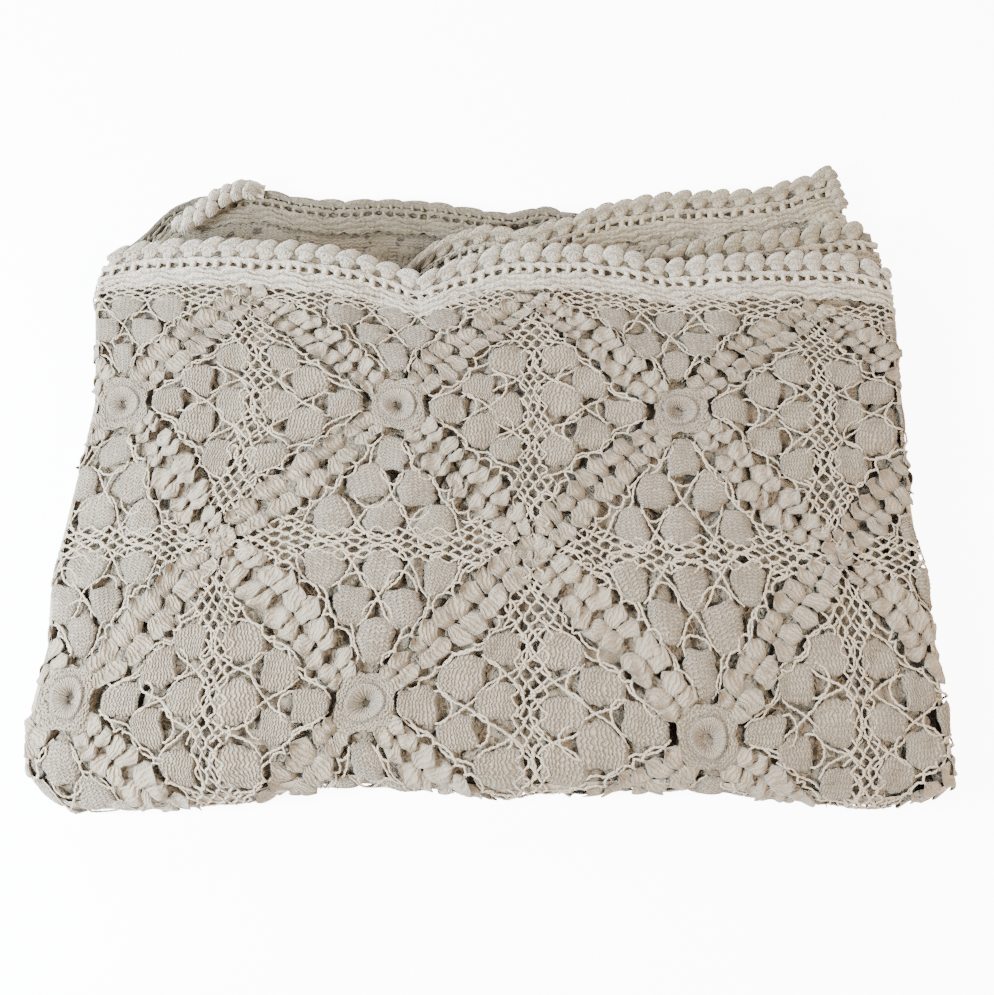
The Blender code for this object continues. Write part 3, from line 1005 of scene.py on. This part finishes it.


# Colours of the cotton: where light reaches the stitches, and painted shade down between them.
LIT = (0.400, 0.322, 0.237)
SHADE = (0.11, 0.082, 0.053)
CHAIN_LIT = (0.575, 0.475, 0.360)
# The ply below, darkened as painted shade.
BELOW_LIT = (0.25, 0.20, 0.142)
BELOW_SHADE = (0.07, 0.053, 0.035)
# The top border, lightened as a painted highlight.
BORDER_LIT = (0.74, 0.652, 0.535)
BORDER_SHADE = (0.14, 0.107, 0.069)
# The borders behind the top one, darkened as painted shade.
REAR_LIT = (0.49, 0.405, 0.292)
REAR_SHADE = (0.13, 0.10, 0.063)
# The rear crest, darkened further as painted shade.
SHADED_CREST_LIT = (0.235, 0.190, 0.126)
SHADED_CREST_SHADE = (0.085, 0.066, 0.041)
# Painted shade in a few holes of the cloth behind the borders.
HOLE_SHADE_COLOUR = (0.05, 0.038, 0.025)
GAP_SCALE = 135.0


def thread_inputs(tree):
    attribute = tree.nodes.new("ShaderNodeAttribute")
    attribute.attribute_name = "thread"
    split = tree.nodes.new("ShaderNodeSeparateXYZ")
    tree.links.new(attribute.outputs["Vector"], split.inputs[0])
    return split.outputs[0], split.outputs[1], split.outputs[2]


def finish_cotton(tree, shader, colour, height, distance):
    tree.links.new(colour, shader.inputs["Base Color"])
    bump = tree.nodes.new("ShaderNodeBump")
    bump.inputs["Strength"].default_value = 1.0
    bump.inputs["Distance"].default_value = distance
    tree.links.new(height, bump.inputs["Height"])
    tree.links.new(bump.outputs[0], shader.inputs["Normal"])
    shader.inputs["Roughness"].default_value = 0.88
    shader.inputs["Sheen Weight"].default_value = 0.25
    shader.inputs["Sheen Roughness"].default_value = 0.5
    shader.inputs["Specular IOR Level"].default_value = 0.25


def bent_place(tree, scale, amount):
    """Object coordinates pushed about by noise, for patterns with uneven outlines."""
    place = tree.nodes.new("ShaderNodeTexCoord").outputs["Object"]
    bend = tree.nodes.new("ShaderNodeTexNoise")
    bend.inputs["Scale"].default_value = scale
    tree.links.new(place, bend.inputs["Vector"])
    bent = tree.nodes.new("ShaderNodeVectorMath")
    bent.operation = "MULTIPLY_ADD"
    tree.links.new(bend.outputs["Color"], bent.inputs[0])
    bent.inputs[1].default_value = (amount, amount, amount)
    tree.links.new(place, bent.inputs[2])
    return bent.outputs[0]


def add_cells(tree, scale, place, feature="F1"):
    node = tree.nodes.new("ShaderNodeTexVoronoi")
    node.feature = feature
    node.inputs["Scale"].default_value = scale
    tree.links.new(place, node.inputs["Vector"])
    return node


def cell_choice(tree, cells):
    """A number from 0 to 1 that is the same all over each cell."""
    split = tree.nodes.new("ShaderNodeSeparateXYZ")
    tree.links.new(cells.outputs["Color"], split.inputs[0])
    return split.outputs[0]


def clamped(tree, value):
    node = tree.nodes.new("ShaderNodeClamp")
    tree.links.new(value, node.inputs[0])
    return node.outputs[0]


def add_wave(tree, value):
    """A sine with one turn for each unit of the value."""
    return add_math(tree, "SINE", add_math(tree, "MULTIPLY", value, 2 * math.pi))


def centred(tree, noise, amount):
    return add_math(tree, "MULTIPLY", add_math(tree, "SUBTRACT", noise, 0.5), amount)


def add_hole_shade(tree, colour, scale):
    """Darkens a few of the small cells of a pattern with painted shade, as holes."""
    gaps = add_cells(tree, scale, bent_place(tree, 160.0, 0.010))
    near = clamped(tree, add_math(tree, "MULTIPLY_ADD", gaps.outputs["Distance"], -12.0, 4.8))
    few = clamped(tree, add_math(tree, "MULTIPLY_ADD", cell_choice(tree, gaps), 12.0, -5.6))
    return add_mix(tree, add_math(tree, "MULTIPLY", near, few), colour, HOLE_SHADE_COLOUR)


def add_dark_patches(tree, colour, darker_tone, scale, detail, gain, offset):
    """Patches in which the colour goes some way to a darker one."""
    patches = add_math(tree, "MULTIPLY_ADD", add_noise(tree, scale, detail), gain, offset)
    return add_mix(tree, add_math(tree, "MULTIPLY", clamped(tree, patches), 0.40), colour, darker_tone)


def stitch_material(name, lit, shade, contrast=0.42, depth=0.00062, gap_scale=0.0):
    """Dense stitches: ribs along, wavy rows across, painted shade in grooves and at edges, and at holes
    where a scale is given.
    """
    material, tree, shader = new_material(name)
    u, v, body = thread_inputs(tree)
    drift = centred(tree, add_noise(tree, 170.0), 1.6)
    jitter = centred(tree, add_noise(tree, 620.0), 0.8)
    fine = add_noise(tree, 1900.0, 3.0)
    rows = add_math(tree, "ADD", v, add_math(tree, "MULTIPLY", add_wave(tree, u), 0.15))
    row = add_wave(tree, add_math(tree, "ADD", rows, add_math(tree, "ADD", drift, jitter)))
    rib = add_wave(tree, add_math(tree, "ADD", u, jitter))
    height = add_math(tree, "MULTIPLY_ADD", row, 0.70, add_math(tree, "MULTIPLY", rib, 0.22))
    height = add_math(tree, "MULTIPLY_ADD", fine, 0.5, height)
    # Painted shade: the colour goes from lit to shade down the grooves and towards the edges of each patch.
    groove = add_math(tree, "MULTIPLY_ADD", height, contrast, 0.98 - contrast)
    edge = add_math(tree, "POWER", add_math(tree, "MAXIMUM", body, 0.02), 0.5)
    colour = add_mix(tree, clamped(tree, add_math(tree, "MULTIPLY", groove, edge)), shade, lit)
    darker_tone = tuple(0.66 * part for part in lit)
    colour = add_dark_patches(tree, colour, darker_tone, 34.0, 3.0, 2.8, -1.05)
    colour = add_dark_patches(tree, colour, darker_tone, 140.0, 2.0, 2.0, -0.75)
    if gap_scale:
        colour = add_hole_shade(tree, colour, gap_scale)
    finish_cotton(tree, shader, colour, height, depth)
    return material


def chain_material():
    """Chains: a cord of slanting loops, with painted shade between the loops and under the cord."""
    material, tree, shader = new_material("cotton_chain")
    u, v, top = thread_inputs(tree)
    loops = add_wave(tree, add_math(tree, "ADD", u, add_math(tree, "MULTIPLY", v, 2.0)))
    fine = add_noise(tree, 1800.0, 3.0)
    height = add_math(tree, "MULTIPLY_ADD", loops, 0.5, add_math(tree, "MULTIPLY", fine, 0.6))
    # Painted shade between the loops and on the cord's underside.
    shade = add_math(tree, "MULTIPLY_ADD", loops, 0.12, 0.80)
    shade = add_math(tree, "MULTIPLY", shade, add_math(tree, "MULTIPLY_ADD", top, 0.6, 0.4))
    colour = add_mix(tree, clamped(tree, shade), SHADE, CHAIN_LIT)
    finish_cotton(tree, shader, colour, height, 0.0003)
    return material


def hollow_shade_material():
    """Painted shade seen down the middle of a rosette."""
    material, tree, shader = new_material("cotton_hollow_shade")
    grain = add_noise(tree, 900.0)
    colour = add_mix(tree, grain, (0.012, 0.009, 0.006), (0.075, 0.055, 0.036))
    finish_cotton(tree, shader, colour, grain, 0.0003)
    return material


def under_material():
    """The plies below, seen through the holes and behind the borders: the same lace, in shade."""
    material, tree, shader = new_material("cotton_under")
    place = tree.nodes.new("ShaderNodeTexCoord").outputs["Object"]
    lit = thread_inputs(tree)[2]
    fine = add_noise(tree, 900.0, 3.0)
    patches = add_cells(tree, 85.0, place)
    cells = add_cells(tree, 240.0, bent_place(tree, 130.0, 0.006), "DISTANCE_TO_EDGE")
    thread = clamped(tree, add_math(tree, "MULTIPLY_ADD", cells.outputs["Distance"], -9.0, 1.5))
    stitched = clamped(tree, add_math(tree, "MULTIPLY_ADD", cell_choice(tree, patches), 6.0, -2.6))
    cover = add_math(tree, "MAXIMUM", thread, add_math(tree, "MULTIPLY", stitched, 0.85))
    cover = add_math(tree, "MULTIPLY", cover, add_math(tree, "MULTIPLY_ADD", fine, 0.8, 0.55))
    cover = clamped(tree, cover)
    # Painted shade: darker where the sheet lies just below the top lace.
    open_air = add_mix(tree, cover, (0.20, 0.155, 0.105), (0.46, 0.375, 0.272))
    below = add_mix(tree, cover, (0.11, 0.084, 0.055), (0.32, 0.258, 0.182))
    colour = add_mix(tree, lit, below, open_air)
    # Painted shade: a few near-black patches, mostly below the top lace.
    deep = clamped(tree, add_math(tree, "MULTIPLY_ADD", add_noise(tree, 95.0, 1.0), -9.0, 4.0))
    shaded = add_math(tree, "MULTIPLY_ADD", lit, -0.70, 0.85)
    colour = add_mix(tree, add_math(tree, "MULTIPLY", deep, shaded), colour, (0.035, 0.026, 0.018))
    height = add_math(tree, "MULTIPLY_ADD", fine, 0.4, cover)
    finish_cotton(tree, shader, colour, height, 0.0009)
    return material


# ---- plies below the lace
SHEET_ROW_SHARES = (0.0, 0.04, 0.09, 0.15, 0.22, 0.3, 0.4, 0.5, 0.6, 0.7, 0.8, 0.9, 1.0)
SHEET_TURN_STEPS = 14
SHEET_STATIONS = 70   # along each ply
SHEET_SIDE_STEPS = 8   # round each side fold
SHEET_SINK = 0.0006
SHEET_LAST_STEP = 0.12
SHEET_EDGE = 0.010


def sheet_path():
    """Fine stations along the folded path: place, height, way out, edge steps, and whether on top."""
    stations = []
    for run, after in zip(RUNS, RUNS[1:] + [None]):
        facing = 1.0 if run["end"] > run["start"] else -1.0
        steps = (run["upper_step"], run["lower_step"])
        height = ply_height(run["level"])
        start, end = run["start"] * HALF_WIDTH, run["end"] * HALF_WIDTH
        for place in np.linspace(start, end, SHEET_STATIONS):
            stations.append((place, height, 0.0, facing, steps, run["level"] == TOP_LEVEL))
        if after is None:
            continue
        later = (after["upper_step"], after["lower_step"])
        radius = (ply_height(after["level"]) - height) / 2
        for count in range(1, SHEET_SIDE_STEPS):
            turned = count / SHEET_SIDE_STEPS
            angle = math.pi * turned
            blend = tuple(a + (b - a) * turned for a, b in zip(steps, later))
            stations.append((
                end + facing * abs(radius) * math.sin(angle),
                height + radius * (1 - math.cos(angle)),
                math.sin(angle) * (1.0 if radius < 0 else -1.0) * facing,
                facing * math.cos(angle), blend, False,
            ))
    return stations


def sheet_row(station):
    """Places down the sheet at one station: over the top, round the front turn, and back below."""
    across, height, out_x, out_h, steps, _ = station
    x = across - SHEET_SINK * out_x
    h = height - SHEET_SINK * out_h
    turn = float(across_value("front", x)) + HALF_HEIGHT
    upper, lower = (float(edge_line(x, min(step, SHEET_LAST_STEP))) - SHEET_EDGE for step in steps)
    row = [(upper + (turn - upper) * share, h) for share in SHEET_ROW_SHARES]
    for count in range(1, SHEET_TURN_STEPS):
        angle = math.pi * count / SHEET_TURN_STEPS
        row.append((turn - h * math.sin(angle), h * math.cos(angle)))
    row += [(lower + (turn - lower) * share, -h) for share in reversed(SHEET_ROW_SHARES)]
    row = np.array(row)
    return settled(np.full(len(row), x), row[:, 0], HALF_HEIGHT + row[:, 1])


def folded_sheet(materials):
    """All plies but the open lace on top, as one thin folded sheet. Gives its flat size too."""
    stations = sheet_path()
    grid = np.array([sheet_row(station) for station in stations])
    count, width = grid.shape[:2]
    index = np.arange(count * width).reshape(count, width)
    faces = np.stack([index[:-1, :-1], index[1:, :-1], index[1:, 1:], index[:-1, 1:]], axis=-1)
    on_top = np.array([station[5] for station in stations])
    keep = np.ones(faces.shape[:2], bool)
    keep[on_top[:-1] & on_top[1:], : len(SHEET_ROW_SHARES) + SHEET_TURN_STEPS // 4] = False
    lengths = np.linalg.norm(np.diff(grid, axis=0), axis=2).sum(axis=0)
    depths = np.linalg.norm(np.diff(grid, axis=1), axis=2).sum(axis=1)
    flat = (float(lengths.mean()), float(depths.mean()))
    # Painted shade: the thread value is 0 where the sheet lies just below the top lace.
    just_below = np.array([abs(station[1] - ply_height(TOP_LEVEL - 1)) < 1e-6 for station in stations])
    threads = np.zeros((count, width, 3))
    threads[:, :, 2] = 1.0
    threads[just_below, : len(SHEET_ROW_SHARES) + SHEET_TURN_STEPS // 2, 2] = 0.0
    faces = faces[keep]
    piece = make_mesh(
        "folded_cloth", grid.reshape(-1, 3), faces, threads.reshape(-1, 3), np.zeros(len(faces)), materials
    )
    return piece, flat


# ---- stage, light and camera
FLOOR_HALF = 6.0
FLOOR_HEIGHT = -0.0004
WORLD_LIGHT = 0.26
FLOOR_GLOW, FLOOR_GLOW_SEEN = 0.5, 8.5   # how much it glows, and how much more for the camera


def build_stage():
    """A pale floor that the camera sees as white, and an even light from all round."""
    mesh = bpy.data.meshes.new("floor")
    size = FLOOR_HALF
    corners = ((-size, -size), (size, -size), (size, size), (-size, size))
    mesh.from_pydata([(x, y, FLOOR_HEIGHT) for x, y in corners], [], [(0, 1, 2, 3)])
    floor = bpy.data.objects.new("floor", mesh)
    bpy.context.scene.collection.objects.link(floor)
    material, tree, shader = new_material("floor_white")
    shader.inputs["Base Color"].default_value = (0.93, 0.93, 0.93, 1)
    shader.inputs["Emission Color"].default_value = (1.0, 1.0, 1.0, 1)
    seen = tree.nodes.new("ShaderNodeLightPath").outputs["Is Camera Ray"]
    glow = add_math(tree, "MULTIPLY_ADD", seen, FLOOR_GLOW_SEEN, FLOOR_GLOW)
    tree.links.new(glow, shader.inputs["Emission Strength"])
    shader.inputs["Roughness"].default_value = 0.8
    shader.inputs["Specular IOR Level"].default_value = 0.1
    mesh.materials.append(material)
    world = bpy.data.worlds.new("studio")
    world.use_nodes = True
    world.node_tree.nodes["Background"].inputs[0].default_value = (1.0, 1.0, 1.0, 1)
    world.node_tree.nodes["Background"].inputs[1].default_value = WORLD_LIGHT
    bpy.context.scene.world = world


def add_area(name, place, target, size, power, colour):
    light = bpy.data.lights.new(name, "AREA")
    light.size = size
    light.energy = power
    light.color = colour
    holder = bpy.data.objects.new(name, light)
    holder.location = place
    holder.rotation_euler = (Vector(target) - Vector(place)).to_track_quat("-Z", "Y").to_euler()
    bpy.context.scene.collection.objects.link(holder)


def build_lights():
    add_area("window", (-0.72, -0.28, 0.46), (-0.12, -0.02, 0), 0.26, 37.0, (0.81, 0.925, 1.0))
    add_area("rear_window", (-0.60, 0.80, 0.62), (-0.05, 0.05, 0), 0.45, 22.0, (0.92, 0.965, 1.0))
    add_area("fill", (0.95, -0.42, 0.85), (0.16, -0.08, 0), 0.6, 30.0, (1.0, 0.86, 0.70))


CAMERA_PLACE = (0.0012, -0.2530, 0.6271)
CAMERA_PITCH = 69.6
CAMERA_ROLL = 1.25
FOCAL_PIXELS = 1100.0
FRAME_WIDTH = 994.0
SENSOR_WIDTH = 36.0


def build_camera():
    camera = bpy.data.cameras.new("camera")
    camera.sensor_fit = "HORIZONTAL"
    camera.sensor_width = SENSOR_WIDTH
    camera.lens = FOCAL_PIXELS / FRAME_WIDTH * SENSOR_WIDTH
    holder = bpy.data.objects.new("camera", camera)
    pitch = Matrix.Rotation(math.radians(90 - CAMERA_PITCH), 4, "X")
    roll = Matrix.Rotation(math.radians(CAMERA_ROLL), 4, "Z")
    holder.matrix_world = Matrix.Translation(CAMERA_PLACE) @ pitch @ roll
    bpy.context.scene.collection.objects.link(holder)
    bpy.context.scene.camera = holder


def crest_slope(name):
    knots = np.array(CRESTS[name][3])
    slopes = np.gradient(knots[:, 1], knots[:, 0])
    return lambda s: float(np.interp(s, knots[:, 0], slopes))


REAR_MAKES = {"edging_rear": CURLED, "edging_second": LOW, "edging_third": TUFTED}
TOP_ENDS = (-0.252, 0.253)
TOP_SEED, REAR_SEED, TURNED_SEED = 41, 43, 51


def build_edgings(chain):
    # Painted highlight: the top border and the turned run use a lighter copy of the cotton.
    bright = stitch_material("border_stitches", BORDER_LIT, BORDER_SHADE, 0.30, 0.0005)
    # Painted shade: the borders behind the top one and their backing use darker copies of the cotton.
    rear = stitch_material("rear_stitches", REAR_LIT, REAR_SHADE, 0.30, 0.0005)
    # Painted shade: the rear crest uses a darker copy still.
    shaded_crest = stitch_material("shaded_crest_stitches", SHADED_CREST_LIT, SHADED_CREST_SHADE, 0.28, 0.0004)
    backing = stitch_material("rear_backing", REAR_LIT, REAR_SHADE, 0.34, 0.0006, GAP_SCALE)
    shaded_crest_backing = stitch_material("shaded_crest_backing", SHADED_CREST_LIT, SHADED_CREST_SHADE, 0.30, 0.0005, GAP_SCALE)
    pieces = [build_edging(
        "edging_top", top_place, TUFTED, *TOP_ENDS, TOP_SEED, [chain, bright, backing], lambda s: 0.0,
        at_rear=False,
    )]
    for number, (name, crest) in enumerate(CRESTS.items()):
        knots = crest[3]
        layout = REAR_MAKES[name]
        worked, behind = (shaded_crest, shaded_crest_backing) if layout is CURLED else (rear, backing)
        pieces.append(build_edging(
            name, crest_place(name), layout, knots[0][0], knots[-1][0], REAR_SEED + number,
            [chain, worked, behind], crest_slope(name),
        ))
    pieces.append(build_turned("edging_turned", TURNED_SEED, [chain, bright]))
    return pieces


FIRST_SEED = 11
MOTIF_COLUMNS = 4


def main():
    chain = chain_material()
    materials = [
        chain,
        stitch_material("cotton_stitches", LIT, SHADE, 0.46, 0.0008),
        hollow_shade_material(),
        stitch_material("shell_stitches", LIT, SHADE, 0.22, 0.0005),
        stitch_material("stitches_below", BELOW_LIT, BELOW_SHADE, 0.34),
    ]
    laces = []
    for row in (0, 1):
        for column in range(MOTIF_COLUMNS):
            motif = (column - 1.5, 0.5 - row)
            seed = FIRST_SEED + row * MOTIF_COLUMNS + column
            laces.append(build_motif(f"lace_{row}_{column}", motif, seed, materials))
    edgings = build_edgings(chain)
    sheet, flat = folded_sheet([under_material()])
    for piece in laces + [sheet]:
        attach(piece, "root")
    for piece in edgings:
        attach(piece, "root")
    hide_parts("bedspread_cloth")
    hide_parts("edging_upper_half")
    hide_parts("edging_lower_half")
    build_stage()
    build_lights()
    build_camera()


main()
